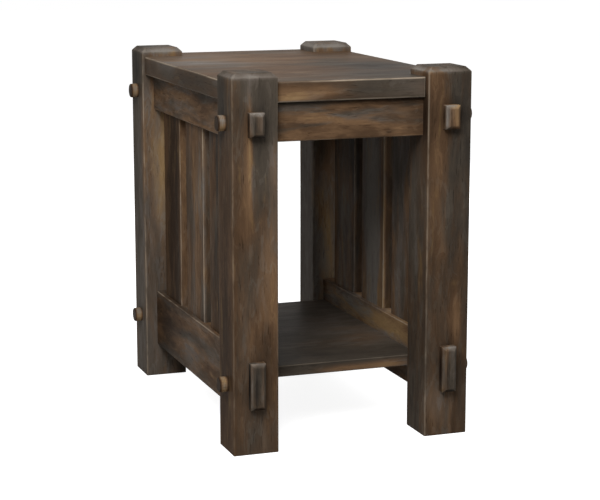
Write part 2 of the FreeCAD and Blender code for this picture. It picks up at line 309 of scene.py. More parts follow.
def mark_wood(piece, along, seed, spots=(), tone=0.0, warmth=0.0, wear=1.0,
              flat_ways=None, parts=None, end_grain=None):
    """Marks each vertex with its place in the log, its tone and warmth, and how pale its edges are.

    The grain runs along one axis, and the seed picks the piece's own stretch of the log. A spot is (centre,
    reach along X, Y and Z, tone, warmth), in mm: a place where the stain took lighter or darker, cooler or
    warmer, and some spots are painted light and shade instead. parts(points) numbers the boards of a piece
    that holds several, and end_grain is a test for the points that lie on an end, with the order of axes
    there. Edges are pale where they lean away from the sharp faces, partly as wear and partly as a painted
    highlight."""
    mesh = piece.data
    count = len(mesh.vertices)
    points = np.empty(count * 3)
    mesh.vertices.foreach_get("co", points)
    points = points.reshape(-1, 3)
    log = points[:, [along] + [axis for axis in range(3) if axis != along]]
    if end_grain is not None:
        on_end, end_axes = end_grain
        log = np.where(on_end(points)[:, None], points[:, end_axes], log)
    start = seed * LOG_STEP
    if parts is not None:
        start = start + np.outer(parts(points), BOARD_STEP)
    tones = np.full(count, tone)
    warmths = np.full(count, warmth)
    for centre, reach, spot_tone, spot_warmth in spots:
        away = (points - np.array(centre) * MM) / (np.array(reach) * MM)
        amount = np.exp(-(away ** 2).sum(1))
        tones += spot_tone * amount
        warmths += spot_warmth * amount
    flat_ways = np.array(flat_ways if flat_ways else np.vstack([np.eye(3), -np.eye(3)]))
    normals = np.array([face.normal for face in mesh.polygons])
    lean = 1 - (normals @ flat_ways.T).max(1)
    corners = np.array([corner.vertex_index for corner in mesh.loops])
    corner_lean = np.repeat(lean, [face.loop_total for face in mesh.polygons])
    lean_here = np.bincount(corners, corner_lean, count) / np.bincount(corners, minlength=count)
    worn_and_highlit = np.clip((lean_here - PALE_EDGE_FROM) / PALE_EDGE_RANGE, 0, 1) * wear
    places = (log + start).ravel()
    mesh.attributes.new("log_place", "FLOAT_VECTOR", "POINT").data.foreach_set("vector", places)
    for name, values in (("tone", tones), ("warmth", warmths), ("worn_and_highlit", worn_and_highlit)):
        mesh.attributes.new(name, "FLOAT", "POINT").data.foreach_set("value", values)


def set_on_frame(piece, node_names, material):
    """Gives a piece its material and its place in the table."""
    piece.data.materials.clear()
    piece.data.materials.append(material)
    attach(piece, "root")
    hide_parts(*node_names)


def finished(name, node_name, slot, material, block, rounding, along, seed, **marks):
    """A board made from its sharp block: eased, marked as wood and set on the frame."""
    piece, flat_ways = eased(name, block, rounding)
    cut_into_cells(piece)
    shade(piece)
    mark_wood(piece, along, seed, flat_ways=flat_ways, **marks)
    set_on_frame(piece, [node_name], material)


def leg_rounding(middle, way):
    """The four long corners are rounded most."""
    return LEG_CORNER_ROUND if abs(way.z) > 0.5 else LEG_END_ROUND


def leg_top_spots(x, y):
    """Pale grey bevels towards the front and the left, partly rubbed and partly a painted highlight, and a
    duller top, of the leg at a place in mm.
    """
    to_bevel, bevel_height, top_height = 36, 606, 611
    return (
        ((x, y - to_bevel, bevel_height), (45, 6, 5), 0.8, -2.0),
        ((x - to_bevel, y, bevel_height), (6, 45, 5), 0.8, -2.0),
        ((x, y, top_height), (60, 60, 6), -0.1, -0.7),
    )


def spots_round_tenons(x):
    """Painted shade round the two tenons where they come out of a front leg, in mm."""
    return ((x, -305, 531), (19, 6, 26), -0.35, 0.0), ((x, -305, 114), (19, 6, 44), -0.35, 0.0)


leg_wood = stained_wood("stained_hickory_leg", figured=0.62)
# Spots are in mm, across and back from the table's middle and up from the floor
leg_marks = {
    "leg_front_left": {"seed": 1.0, "warmth": 0.1, "wear": 0.45, "spots": (
        ((-175, -305, 495), (4, 6, 85), 0.8, 2.8),
        ((-177, -305, 410), (8, 8, 60), 0.12, 0.6),
        ((-147, -305, 535), (30, 20, 100), -0.3, -2.0),
        ((-134, -305, 471), (9, 9, 45), 0.4, 0.8),
        ((-155, -305, 401), (11, 11, 32), -0.15, -0.3),
        ((-186, -305, 387), (12, 12, 50), 0.15, 0.4),
        ((-136, -305, 296), (13, 13, 80), 0.3, 0.6),
        ((-146, -305, 178), (13, 13, 45), -0.35, -0.5),
        ((-165, -305, 50), (45, 20, 70), 0.1, -0.3),
        ((-222, -267, 300), (38, 38, 500), -0.38, 1.1),
        ((-203, -267, 560), (10, 45, 60), -0.2, -1.5),
        ((-203, -267, 150), (10, 45, 150), -0.38, 2.1),
        ((-165, -305, 440), (45, 10, 60), 0.0, -1.0),
        ((-165, -305, 590), (45, 8, 30), 0.06, -1.0),
        ((-165, -305, 190), (45, 8, 90), 0.12, 0.0),
        *spots_round_tenons(-LEG_X),
        *leg_top_spots(-LEG_X, -LEG_Y),
    )},
    "leg_front_right": {"seed": 2.0, "tone": -0.25, "warmth": 0.1, "wear": 0.65, "spots": (
        ((146, -305, 470), (17, 17, 150), 0.24, 0.8),
        ((188, -305, 480), (17, 17, 130), -0.2, -0.9),
        ((168, -305, 274), (14, 14, 70), 0.0, 0.3),
        ((181, -305, 191), (6, 6, 45), 0.6, 1.2),
        ((150, -305, 60), (30, 20, 60), 0.5, -0.6),
        ((165, -305, 575), (40, 8, 30), 0.05, -0.5),
        # Painted shade in the recess beside the front apron's end
        ((129, -294, 530), (8, 14, 60), -0.8, 0.5),
        ((129, -262, 590), (6, 40, 40), 0.72, 0.2),
        ((129, -267, 140), (6, 45, 160), 0.0, -0.6),
        ((129, -267, 350), (6, 45, 130), 0.25, -1.1),
        ((165, -305, 330), (45, 8, 90), 0.05, -0.5),
        ((188, -305, 440), (14, 8, 120), 0.15, 0.0),
        *spots_round_tenons(LEG_X),
        *leg_top_spots(LEG_X, -LEG_Y),
    )},
    "leg_back_left": {"seed": 3.0, "warmth": -0.1, "spots": (
        ((-165, 215, 430), (40, 40, 200), 1.0, 0.4),
        ((-165, 215, 100), (40, 40, 110), 0.33, -1.6),
        ((-222, 271, 330), (38, 38, 500), -0.12, -2.0),
        ((-222, 271, 580), (38, 38, 60), -0.75, -0.9),
        *leg_top_spots(-LEG_X, LEG_Y),
    )},
    "leg_back_right": {"seed": 4.0, "tone": 0.1, "warmth": -0.2, "spots": (
        ((165, 215, 250), (36, 36, 500), 0.5, 0.3),
        # Painted shade under the back apron, at the top of the front face
        ((165, 229, 440), (45, 10, 60), -0.8, 0.2),
        ((165, 229, 190), (45, 10, 100), 0.5, 0.1),
        ((129, 265, 330), (6, 45, 500), 0.58, -2.0),
        *leg_top_spots(LEG_X, LEG_Y),
    )},
}
for node_name, marks in leg_marks.items():
    low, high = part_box(node_name)
    block = sawn_block(low, high)
    top_edges = [edge for edge in block.edges if min(vertex.co.z for vertex in edge.verts) > high.z - MM]
    bevelled_end(block, top_edges, LEG_TOP_BEVEL)
    finished(node_name + "_post", node_name, "leg_wood", leg_wood, block, leg_rounding, 2, **marks)


# Top: one thick board, glued up from wide hickory planks and notched around the four legs.
# Its outer edges are rounded over. Wooden buttons under it hold it down and let it move with the seasons.

TOP_EDGE_ROUND = 3.0 * MM
NOTCH_EDGE_ROUND = 0.6 * MM
NOTCH_GAP = 0.5 * MM

top_wood = stained_wood("stained_hickory_top", roughness=0.4, spread=2.2, figured=0.55, gloss_level=0.003)
top_low, top_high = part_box("top")
leg_low, leg_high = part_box("leg_front_left")
leg_inner_x, leg_inner_y = abs(leg_high.x), abs(leg_high.y)
leg_outer_x, leg_outer_y = abs(leg_low.x), abs(leg_low.y)
notch_x = leg_inner_x - NOTCH_GAP
notch_y = leg_inner_y - NOTCH_GAP
outline = [
    (-notch_x, top_low.y), (notch_x, top_low.y), (notch_x, -notch_y), (top_high.x, -notch_y),
    (top_high.x, notch_y), (notch_x, notch_y), (notch_x, top_high.y), (-notch_x, top_high.y),
    (-notch_x, notch_y), (top_low.x, notch_y), (top_low.x, -notch_y), (-notch_x, -notch_y),
]
block = bmesh.new()
lower, upper = [[block.verts.new((x, y, z)) for x, y in outline] for z in (top_low.z, top_high.z)]
block.faces.new(lower)
block.faces.new(upper)
for number in range(len(outline)):
    block.faces.new((lower[number - 1], lower[number], upper[number], upper[number - 1]))
bmesh.ops.recalc_face_normals(block, faces=block.faces)


def top_rounding(middle, way):
    """The outer edges are rounded over, and the notches are left nearly sharp."""
    on_side = abs(middle.x) > top_high.x - MM
    on_end = middle.y < top_low.y + MM or middle.y > top_high.y - MM
    return TOP_EDGE_ROUND if on_side or on_end else NOTCH_EDGE_ROUND


def on_top_end(points):
    """Whether each point is on the top's left or right edge, where the streaks run from front to back."""
    return np.abs(points[:, 0]) > top_high.x - TOP_EDGE_ROUND / 2


top_spots = (
    ((-130, 100, 594), (120, 120, 12), 0.45, -0.9),
    ((-11, 122, 594), (80, 80, 12), -0.05, 1.1),
    ((-5, -90, 594), (80, 60, 12), -0.05, 1.0),
    ((125, -80, 594), (90, 150, 12), -0.45, -0.7),
    ((60, -240, 594), (160, 60, 10), -0.25, -0.8),
    ((-95, -297, 572), (45, 6, 14), 0.7, 0.9),
    ((20, -297, 575), (70, 6, 20), -0.3, -0.5),
    # Painted shadow: a dark line along the lower front edge, under the top's overhang
    ((0, -297, 561), (200, 5, 3), -1.1, 0.0),
    ((-33, -297, 578), (30, 6, 6), 0.5, 1.2),
    ((100, -297, 578), (50, 6, 20), 0.12, -0.4),
    ((-208, 0, 578), (10, 400, 16), -0.5, -2.0),
)
finished("top_board", "top", "top_wood", top_wood, block, top_rounding, 0, 5.0, warmth=0.1, wear=1.5,
         end_grain=(on_top_end, [1, 2, 0]), spots=top_spots)


# Aprons: plain hickory boards under the top, between the front and the back pair of legs.
# They are held by blind tenons, and here their ends run on a little into the legs, so no light shows there.

BOARD_EDGE_ROUND = 2.0 * MM
INTO_LEG = 3.0 * MM


def long_edges(middle, way):
    """A board's edges that run from left to right are rounded."""
    return BOARD_EDGE_ROUND if abs(way.x) > 0.5 else 0.0


apron_wood = stained_wood("stained_hickory_apron", figured=1.3)
apron_reach = leg_inner_x + INTO_LEG
apron_spots = (
    ((-15, -284, 512), (50, 8, 8), 0.3, 0.7),
    ((-84, -284, 545), (40, 10, 10), -0.2, 0.0),
    ((95, -284, 512), (50, 10, 20), 0.35, 0.6),
    # Painted shadow: a dark band along the apron's top, under the top's overhang
    ((0, -284, 561), (200, 30, 4), -0.9, 0.0),
)
for node_name, seed in (("apron_front", 6.0), ("apron_back", 7.0)):
    low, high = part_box(node_name)
    block = sawn_block((-apron_reach, low.y, low.z), (apron_reach, high.y, high.z))
    finished(node_name + "_board", node_name, "apron_wood", apron_wood, block, long_edges, 0, seed,
             tone=0.05, warmth=0.75, spots=apron_spots)


# Side rails: two hickory boards on each side, as long as the gap between the legs.
# The tenon at each end runs right through the leg, stands out of its face, and has a bevelled end.
# The pegs lock the tenons in the legs, with no glue or metal.

TENON_WIDTH = 25.0 * MM
TENON_HEIGHT = {"upper": 39.0 * MM, "lower": 76.0 * MM}
# How far a tenon's middle lies above its rail's, and where it is in mm from the floor
TENON_RISE = {"upper": 0.0, "lower": 4.0 * MM}
TENON_MIDDLE_Z = {"upper": 530, "lower": 114}
TENON_BEVEL = 5.5 * MM
TENON_EDGE_ROUND = 0.8 * MM


def rail_rounding(middle, way):
    """The rail's long edges are rounded, and its tenons' ends are eased."""
    if abs(middle.y) > leg_inner_y + MM / 2:
        return TENON_EDGE_ROUND
    return BOARD_EDGE_ROUND if abs(way.y) > 0.5 else 0.0


def on_tenon(points):
    """Whether each point is on the outer half of a tenon, whose figure stands upright."""
    return np.abs(points[:, 1]) > (leg_inner_y + leg_outer_y) / 2


def tenon_spots(side, level):
    """Spots on a front tenon's end, in mm: pale upper and left bevels, partly rubbed and partly a painted
    highlight, and a dark lower bevel and flank as painted shade.
    """
    x, z = side * LEG_X, TENON_MIDDLE_Z[level]
    left, half = x - TENON_WIDTH / MM / 2, TENON_HEIGHT[level] / MM / 2
    return (
        ((x, -319, z + half), (14, 6, 4), 0.8, -1.2),
        ((left + 1, -320, z), (4, 4, half), 0.5, -1.2),
        ((x, -319, z - half), (14, 6, 4), -1.0, 0.4),
        ((left, -310, z), (3, 6, half), -1.1, 0.4),
        ((x - 5, -323, z), (3, 3, half), -0.5, 0.0),
        ((x + 4, -323, z), (5, 3, half), 0.15, 0.4),
    )


rail_wood = stained_wood("stained_hickory_rail")
rail_marks = {
    "rail_upper_left": {"seed": 8.0, "spots": (
        ((-182, 130, 531), (20, 50, 20), 0.1, 0.5),
        ((-182, -60, 545), (20, 70, 20), -0.2, 0.0),
        ((-182, 0, 531), (8, 260, 60), 0.27, 0.5),
        ((-165, -323, 530), (60, 30, 60), 0.1, -1.2),
        *tenon_spots(-1, "upper"),
    )},
    "rail_upper_right": {"seed": 9.0, "spots": (
        ((165, -323, 530), (60, 30, 60), 0.35, 0.5),
        *tenon_spots(1, "upper"),
    )},
    "rail_lower_left": {"seed": 12.0, "spots": (
        ((-182, 0, 110), (10, 260, 60), -0.1, 0.2),
        ((-182, 165, 110), (25, 70, 60), -0.5, 0.3),
        ((-182, 5, 95), (22, 50, 22), 0.3, -0.5),
        ((-182, -60, 145), (14, 60, 14), 0.15, 0.6),
        ((-165, -323, 114), (60, 30, 60), -0.08, -0.9),
        *tenon_spots(-1, "lower"),
    )},
    "rail_lower_right": {"seed": 13.0, "spots": (
        ((148, 0, 140), (30, 250, 30), 0.82, 0.6),
        ((161, 0, 184), (11, 300, 5), -0.8, 0.0),
        ((165, -323, 114), (60, 30, 60), -0.1, -1.0),
        *tenon_spots(1, "lower"),
    )},
}
for node_name, marks in rail_marks.items():
    level = node_name.split("_")[1]
    low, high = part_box(node_name)
    middle = (low + high) / 2
    block = sawn_block((low.x, -leg_inner_y, low.z), (high.x, leg_inner_y, high.z))
    for end in (-1, 1):
        face = max(block.faces, key=lambda one: one.calc_center_median().y * end)
        for reach in (leg_inner_y, high.y):
            face = bmesh.ops.extrude_discrete_faces(block, faces=[face])["faces"][0]
            for vertex in face.verts:
                across = 1 if vertex.co.x > middle.x else -1
                up = 1 if vertex.co.z > middle.z + TENON_RISE[level] else -1
                vertex.co = Vector((middle.x + across * TENON_WIDTH / 2, end * reach,
                                    middle.z + TENON_RISE[level] + up * TENON_HEIGHT[level] / 2))
        bevelled_end(block, list(face.edges), TENON_BEVEL)
    bmesh.ops.recalc_face_normals(block, faces=block.faces)
    finished(node_name + "_board", node_name, "rail_wood", rail_wood, block, rail_rounding, 1,
             end_grain=(on_tenon, [2, 0, 1]), **marks)


# Slats: three flat upright hickory boards on each side, let into the rails with stub tenons and no glue.
# A node tree draws one row of like slats, and each slat is then marked as a board of its own.

SLAT_WIDTH = 101.5 * MM
SLAT_EDGE_ROUND = 1.5 * MM
INTO_RAIL = 3.0 * MM
MID_HEIGHT = 330  # mm


def node_tree(name, sizes):
    """Empty geometry tree whose named inputs are sizes, counts or a material."""
    tree = bpy.data.node_groups.new(name, "GeometryNodeTree")
    tree.interface.new_socket("Geometry", in_out="INPUT", socket_type="NodeSocketGeometry")
    tree.interface.new_socket("Geometry", in_out="OUTPUT", socket_type="NodeSocketGeometry")
    for size_name, kind in sizes.items():
        tree.interface.new_socket(size_name, in_out="INPUT", socket_type="NodeSocket" + kind)
    return tree


def grown_piece(name, tree, values, points=((0, 0, 0),)):
    """Object that holds what a geometry tree makes from some points, as a plain mesh."""
    mesh = bpy.data.meshes.new(name)
    mesh.from_pydata(points, [], [])
    piece = in_scene(name, mesh)
    modifier = piece.modifiers.new("made by nodes", "NODES")
    modifier.node_group = tree
    for socket in tree.interface.items_tree:
        if socket.in_out == "INPUT" and socket.name in values:
            modifier[socket.identifier] = values[socket.name]
    return plain_mesh(piece)


def put_on_points(tree, one, points, material, **turned):
    """Ends a tree with one of its pieces on each point, all made real and in their material."""
    many = add(tree, "GeometryNodeInstanceOnPoints", {"Points": points, "Instance": one, **turned})
    real = add(tree, "GeometryNodeRealizeInstances", {"Geometry": many.outputs[0]})
    dressed = add(tree, "GeometryNodeSetMaterial", {"Geometry": real.outputs[0], "Material": material})
    add(tree, "NodeGroupOutput", {"Geometry": dressed.outputs[0]})


slat_tree = node_tree("row_of_slats", {
    "Width": "Float", "Thickness": "Float", "Length": "Float", "Edge Round": "Float", "Pitch": "Float",
    "Count": "Int", "Wood": "Material"})
sizes = add(slat_tree, "NodeGroupInput").outputs
section = add(slat_tree, "GeometryNodeCurvePrimitiveQuadrilateral", {
    "Width": sizes["Thickness"], "Height": sizes["Width"]}, mode="RECTANGLE")
section = add(slat_tree, "GeometryNodeFilletCurve", {
    "Curve": section.outputs[0], "Count": ROUNDING_STEPS, "Radius": sizes["Edge Round"]}, mode="POLY")
half = add(slat_tree, "ShaderNodeMath", {0: sizes["Length"], 1: 0.5}, operation="MULTIPLY").outputs[0]
foot = add(slat_tree, "ShaderNodeMath", {0: half, 1: -1.0}, operation="MULTIPLY").outputs[0]
length_line = add(slat_tree, "GeometryNodeCurvePrimitiveLine", {
    "Start": add(slat_tree, "ShaderNodeCombineXYZ", {"Z": foot}).outputs[0],
    "End": add(slat_tree, "ShaderNodeCombineXYZ", {"Z": half}).outputs[0]})
slat = add(slat_tree, "GeometryNodeCurveToMesh", {
    "Curve": length_line.outputs[0], "Profile Curve": section.outputs[0], "Fill Caps": True})
step = add(slat_tree, "ShaderNodeCombineXYZ", {"Y": sizes["Pitch"]})
row = add(slat_tree, "GeometryNodeMeshLine", {"Count": sizes["Count"], "Offset": step.outputs[0]})
put_on_points(slat_tree, slat.outputs[0], row.outputs[0], sizes["Wood"])

slat_wood = stained_wood("stained_hickory_slat", figured=0.8)
slat_spots = {
    "left": (
        # Painted shade: the back slat is darker all over, next to the back leg
        ((-165, 137, 330), (50, 50, 400), -0.75, 1.2),
        ((-174, -8, 330), (22, 22, 300), 0.15, 0.1),
        ((-174, -35, 400), (22, 22, 70), 0.4, 0.1),
        ((-165, -137, 330), (50, 50, 400), -0.4, -0.2),
    ),
    "right": (
        ((155, -3, 330), (40, 40, 300), 1.02, -1.4),
        ((155, -132, 330), (40, 40, 300), 0.3, -0.6),
        ((155, 137, 330), (40, 40, 400), 0.65, -0.7),
        # Painted shade at the top of the back slat, under the back apron
        ((155, 137, 440), (30, 60, 80), -0.8, 0.0),
        ((155, -44, 300), (30, 12, 300), 0.0, 0.6),
    ),
}
# Painted light and shade on each slat's front edge, and a painted highlight on that edge's outer corner, as
# tones
painted_edge_tones = {"left": (-0.2, -0.15, 0.45), "right": (-0.4, -0.45, -0.6)}
painted_corner_highlights = {"left": (0.0, 0.8, 0.1), "right": (0.0, 1.6, 1.4)}
for side_name, seed in (("left", 20.0), ("right", 23.0)):
    names = ["slat_" + side_name + "_" + str(number) for number in (1, 2, 3)]
    low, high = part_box(names[0])
    middle = (low + high) / 2
    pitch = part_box(names[1])[0].y - low.y
    foot_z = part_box("rail_lower_" + side_name)[1].z - INTO_RAIL
    head_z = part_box("rail_upper_" + side_name)[0].z + INTO_RAIL
    piece = grown_piece("slats_" + side_name, slat_tree, {
        "Width": SLAT_WIDTH, "Thickness": high.x - low.x, "Length": head_z - foot_z,
        "Edge Round": SLAT_EDGE_ROUND, "Pitch": pitch, "Count": len(names), "Wood": slat_wood})
    piece.data.transform(Matrix.Translation((middle.x, middle.y, (foot_z + head_z) / 2)))
    cut_into_cells(piece)
    shade(piece)

    def which_slat(points):
        """Number of the slat that each point belongs to."""
        return np.round((points[:, 1] - middle.y) / pitch)

    painted_edge_spots = []
    for number, one_edge_shading in enumerate(painted_edge_tones[side_name]):
        edge_y = (middle.y + number * pitch - SLAT_WIDTH / 2) / MM
        one_corner_highlight = painted_corner_highlights[side_name][number]
        painted_edge_spots.append(((middle.x / MM, edge_y, MID_HEIGHT), (60, 5, 600), one_edge_shading, 0.1))
        painted_edge_spots.append(((low.x / MM, edge_y, MID_HEIGHT), (2, 2, 600), one_corner_highlight, -0.5))
    mark_wood(piece, 2, seed, [*slat_spots[side_name], *painted_edge_spots], wear=1.2, parts=which_slat)
    set_on_frame(piece, names, slat_wood)


# Shelf: a thinner hickory board between the lower rails, planed and stained like the top.
# It lies on two cleats and is screwed to them from below.

shelf_wood = stained_wood("stained_hickory_shelf", spread=1.8, figured=0.32, gloss_level=0.008)
shelf_spots = (
    ((110, -80, 120), (55, 110, 60), 0.05, 0.9),
    ((0, -227, 112), (200, 6, 10), -0.55, 0.0),
    ((20, -227, 107), (50, 6, 7), 0.72, 2.2),
    ((98, -227, 108), (40, 6, 9), 0.78, 2.4),
    ((0, -190, 122), (220, 70, 6), -0.5, -0.2),
)
finished("shelf_board", "shelf", "shelf_wood", shelf_wood, sawn_block(*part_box("shelf")), long_edges, 0, 30.0,
         tone=0.12, warmth=-1.2, wear=0.4, spots=shelf_spots)


# Pegs: turned hickory pins, driven in from the legs' outer faces, that lock the through tenons.
# The stub that stands out of the leg is rounded at its rim, and its end grain has drunk more stain.

PEG_RIM_ROUND = 2.0 * MM
INTO_FACE = 1.0 * MM
PEG_STEPS = 48
EVERYWHERE = 2000  # mm
# Rings of tone, as (distance from the end, half width, tone, warmth), in mm
PEG_RINGS = ((0.0, 2.0, -1.1, 0.4), (4.2, 0.6, 0.7, -0.6), (6.6, 0.7, 1.1, -0.8), (9.2, 0.6, 0.8, -0.4),
             (13.5, 1.6, -0.8, 0.4))


def pointing(tree, sideways):
    """Rotation of a piece that points up, or with sideways at 1, away from the table's middle."""
    seat = add(tree, "ShaderNodeSeparateXYZ", {0: add(tree, "GeometryNodeInputPosition").outputs[0]})
    outward = add(tree, "ShaderNodeMath", {0: seat.outputs["X"]}, operation="SIGN")
    outward = add(tree, "ShaderNodeMath", {0: outward.outputs[0], 1: sideways}, operation="MULTIPLY")
    upward = add(tree, "ShaderNodeMath", {0: 1.0, 1: sideways}, operation="SUBTRACT")
    way = add(tree, "ShaderNodeCombineXYZ", {"X": outward.outputs[0], "Z": upward.outputs[0]})
    return add(tree, "FunctionNodeAlignRotationToVector", {"Vector": way.outputs[0]}, axis="Z").outputs[0]


peg_tree = node_tree("row_of_pegs", {
    "Radius": "Float", "Height": "Float", "Rim Round": "Float", "Steps": "Int", "Wood": "Material"})
sizes = add(peg_tree, "NodeGroupInput").outputs
axis_line = add(peg_tree, "GeometryNodeCurvePrimitiveLine", {
    "End": add(peg_tree, "ShaderNodeCombineXYZ", {"Z": sizes["Height"]}).outputs[0]})
axis_line = add(peg_tree, "GeometryNodeResampleCurve", {
    "Curve": axis_line.outputs[0], "Count": sizes["Steps"]})

# Within the rim, the radius follows a quarter circle: inner radius + root of (rim round^2 - climb^2)
height_now = add(peg_tree, "ShaderNodeSeparateXYZ", {
    0: add(peg_tree, "GeometryNodeInputPosition").outputs[0]})
straight = add(peg_tree, "ShaderNodeMath", {0: sizes["Height"], 1: sizes["Rim Round"]}, operation="SUBTRACT")
climb = add(peg_tree, "ShaderNodeMath", {
    0: height_now.outputs["Z"], 1: straight.outputs[0]}, operation="SUBTRACT")
climb = add(peg_tree, "ShaderNodeMath", {0: climb.outputs[0], 1: 0.0}, operation="MAXIMUM")
climb_squared = add(peg_tree, "ShaderNodeMath", {0: climb.outputs[0], 1: 2.0}, operation="POWER")
rim_squared = add(peg_tree, "ShaderNodeMath", {0: sizes["Rim Round"], 1: 2.0}, operation="POWER")
left_over = add(peg_tree, "ShaderNodeMath", {
    0: rim_squared.outputs[0], 1: climb_squared.outputs[0]}, operation="SUBTRACT")
left_over = add(peg_tree, "ShaderNodeMath", {0: left_over.outputs[0], 1: 0.0}, operation="MAXIMUM")
root = add(peg_tree, "ShaderNodeMath", {0: left_over.outputs[0], 1: 0.5}, operation="POWER")
inner_radius = add(peg_tree, "ShaderNodeMath", {
    0: sizes["Radius"], 1: sizes["Rim Round"]}, operation="SUBTRACT")
radius_now = add(peg_tree, "ShaderNodeMath", {
    0: inner_radius.outputs[0], 1: root.outputs[0]}, operation="ADD")
ring = add(peg_tree, "GeometryNodeCurvePrimitiveCircle", {
    "Resolution": sizes["Steps"], "Radius": 1.0}, mode="RADIUS")
peg = add(peg_tree, "GeometryNodeCurveToMesh", {
    "Curve": axis_line.outputs[0], "Profile Curve": ring.outputs[0], "Scale": radius_now.outputs[0],
    "Fill Caps": True})
put_on_points(peg_tree, peg.outputs[0], sizes["Geometry"], sizes["Wood"], Rotation=pointing(peg_tree, 1.0))

peg_names = [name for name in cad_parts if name.startswith("peg_")]
peg_seats = []
for name in peg_names:
    low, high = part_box(name)
    side = 1 if high.x > 0 else -1
    middle = (low + high) / 2
    peg_seats.append((side * (leg_outer_x - INTO_FACE), middle.y, middle.z))
peg_end_x = max(abs(low.x), abs(high.x))
# A turned pin is smoother than a planed board, so it shines a little
peg_wood = stained_wood("turned_hickory_peg", roughness=0.36, figured=0.7)
piece = grown_piece("pegs", peg_tree, {
    "Radius": (high.z - low.z) / 2, "Height": peg_end_x - leg_outer_x + INTO_FACE, "Rim Round": PEG_RIM_ROUND,
    "Steps": PEG_STEPS, "Wood": peg_wood}, peg_seats)
shade(piece)


def which_peg(points):
    """A number for the leg and level that each point belongs to."""
    return (points[:, 0] > 0) * 4.0 + (points[:, 1] > 0) * 2.0 + (points[:, 2] > MID_HEIGHT * MM) * 1.0


# The end is dark. The tool left pale rings round the stub, and the stub is darker where it enters the leg.
peg_spots = []
for side in (-1, 1):
    for back_from_end, half_width, tone, warmth in PEG_RINGS:
        place = side * (peg_end_x / MM - back_from_end)
        peg_spots.append(((place, 0, MID_HEIGHT), (half_width, EVERYWHERE, EVERYWHERE), tone, warmth))
mark_wood(piece, 0, 40.0, peg_spots, tone=0.4, warmth=0.5, wear=0.0, parts=which_peg)
set_on_frame(piece, peg_names, peg_wood)


# Cleats and buttons: plain hickory strips and blocks out of sight, sawn and left rougher than the rest.
# The cleats are screwed to the lower rails, and each button's tongue sits in a slot of its rail or apron.

ACROSS_TABLE = (0.0, 0.0, 0.0)
ALONG_TABLE = (0.0, 0.0, math.radians(90))

cleat_wood = stained_wood("sawn_hickory_cleat", roughness=0.6, cad_way=ALONG_TABLE)
button_wood = stained_wood("sawn_hickory_button", roughness=0.6, cad_way=ACROSS_TABLE)
for start, wood in (("shelf_cleat", cleat_wood), ("top_button", button_wood)):
    for name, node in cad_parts.items():
        if name.startswith(start):
            node.data.materials.clear()
            node.data.materials.append(wood)


# Screws: countersunk wood screws of zinc-plated steel, rolled from wire, with a square recess for the driver.
# Three hold each cleat to its rail, two come up through it into the shelf, and one goes through each button.

SCREW_SIZES = {
    "Head Radius": 4.2 * MM, "Head Depth": 2.6 * MM, "Shank Radius": 2.1 * MM, "Plain Length": 13.0 * MM,
    "Thread Depth": 0.6 * MM, "Pitch": 1.8 * MM, "Point": 4.0 * MM, "Tip Radius": 0.3 * MM,
    "Recess Size": 2.4 * MM, "Recess Depth": 1.4 * MM}
SCREW_STEPS = 24
THREAD_SIDES = 3
# The thread is full up to this share of its length from its middle, and then falls to a part of its size
FULL_THREAD = 0.45
THREAD_AT_END = 0.05
BUTTON_SCREW_INSET = 17.0 * MM
SHELF_SCREW_SHARES = (0.3, 0.7)
CLEAT_SCREW_SHARES = (0.12, 0.5, 0.88)
BUTTON_WAYS = {"front": (0, 1, 0), "back": (0, -1, 0), "left": (1, 0, 0), "right": (-1, 0, 0)}
ZINC_DULL = "#b9b4a4"
ZINC_BRIGHT = "#d4cfc0"

screw_tree = node_tree("row_of_screws", {
    **dict.fromkeys(SCREW_SIZES, "Float"), "Length": "Float", "Steps": "Int", "Sideways": "Float",
    "Steel": "Material"})
sizes = add(screw_tree, "NodeGroupInput").outputs

# Its side is turned from six rings: head, neck, end of the plain shank, start of the core, point and tip
core = add(screw_tree, "ShaderNodeMath", {
    0: sizes["Shank Radius"], 1: sizes["Thread Depth"]}, operation="SUBTRACT").outputs[0]
core_start = add(screw_tree, "ShaderNodeMath", {
    0: sizes["Plain Length"], 1: sizes["Thread Depth"]}, operation="ADD").outputs[0]
point_start = add(screw_tree, "ShaderNodeMath", {
    0: sizes["Length"], 1: sizes["Point"]}, operation="SUBTRACT").outputs[0]
ring_heights = (None, sizes["Head Depth"], sizes["Plain Length"], core_start, point_start, sizes["Length"])
ring_radii = (
    sizes["Head Radius"], sizes["Shank Radius"], sizes["Shank Radius"], core, core, sizes["Tip Radius"])
by_ring = []
for values in (ring_heights, ring_radii):
    chooser = add(screw_tree, "GeometryNodeIndexSwitch", data_type="FLOAT")
    while len(chooser.index_switch_items) < len(ring_radii):
        chooser.index_switch_items.new()
    screw_tree.links.new(add(screw_tree, "GeometryNodeInputIndex").outputs[0], chooser.inputs["Index"])
    for number, value in enumerate(values):
        if value is not None:
            screw_tree.links.new(value, chooser.inputs[str(number)])
    by_ring.append(chooser.outputs[0])
axis_line = add(screw_tree, "GeometryNodeMeshLine", {"Count": len(ring_radii)})
axis_line = add(screw_tree, "GeometryNodeSetPosition", {
    "Geometry": axis_line.outputs[0],
    "Position": add(screw_tree, "ShaderNodeCombineXYZ", {"Z": by_ring[0]}).outputs[0]})
axis_line = add(screw_tree, "GeometryNodeMeshToCurve", {"Mesh": axis_line.outputs[0]})
circle = add(screw_tree, "GeometryNodeCurvePrimitiveCircle", {
    "Resolution": sizes["Steps"], "Radius": 1.0}, mode="RADIUS")
turned = add(screw_tree, "GeometryNodeCurveToMesh", {
    "Curve": axis_line.outputs[0], "Profile Curve": circle.outputs[0], "Scale": by_ring[1],
    "Fill Caps": True})

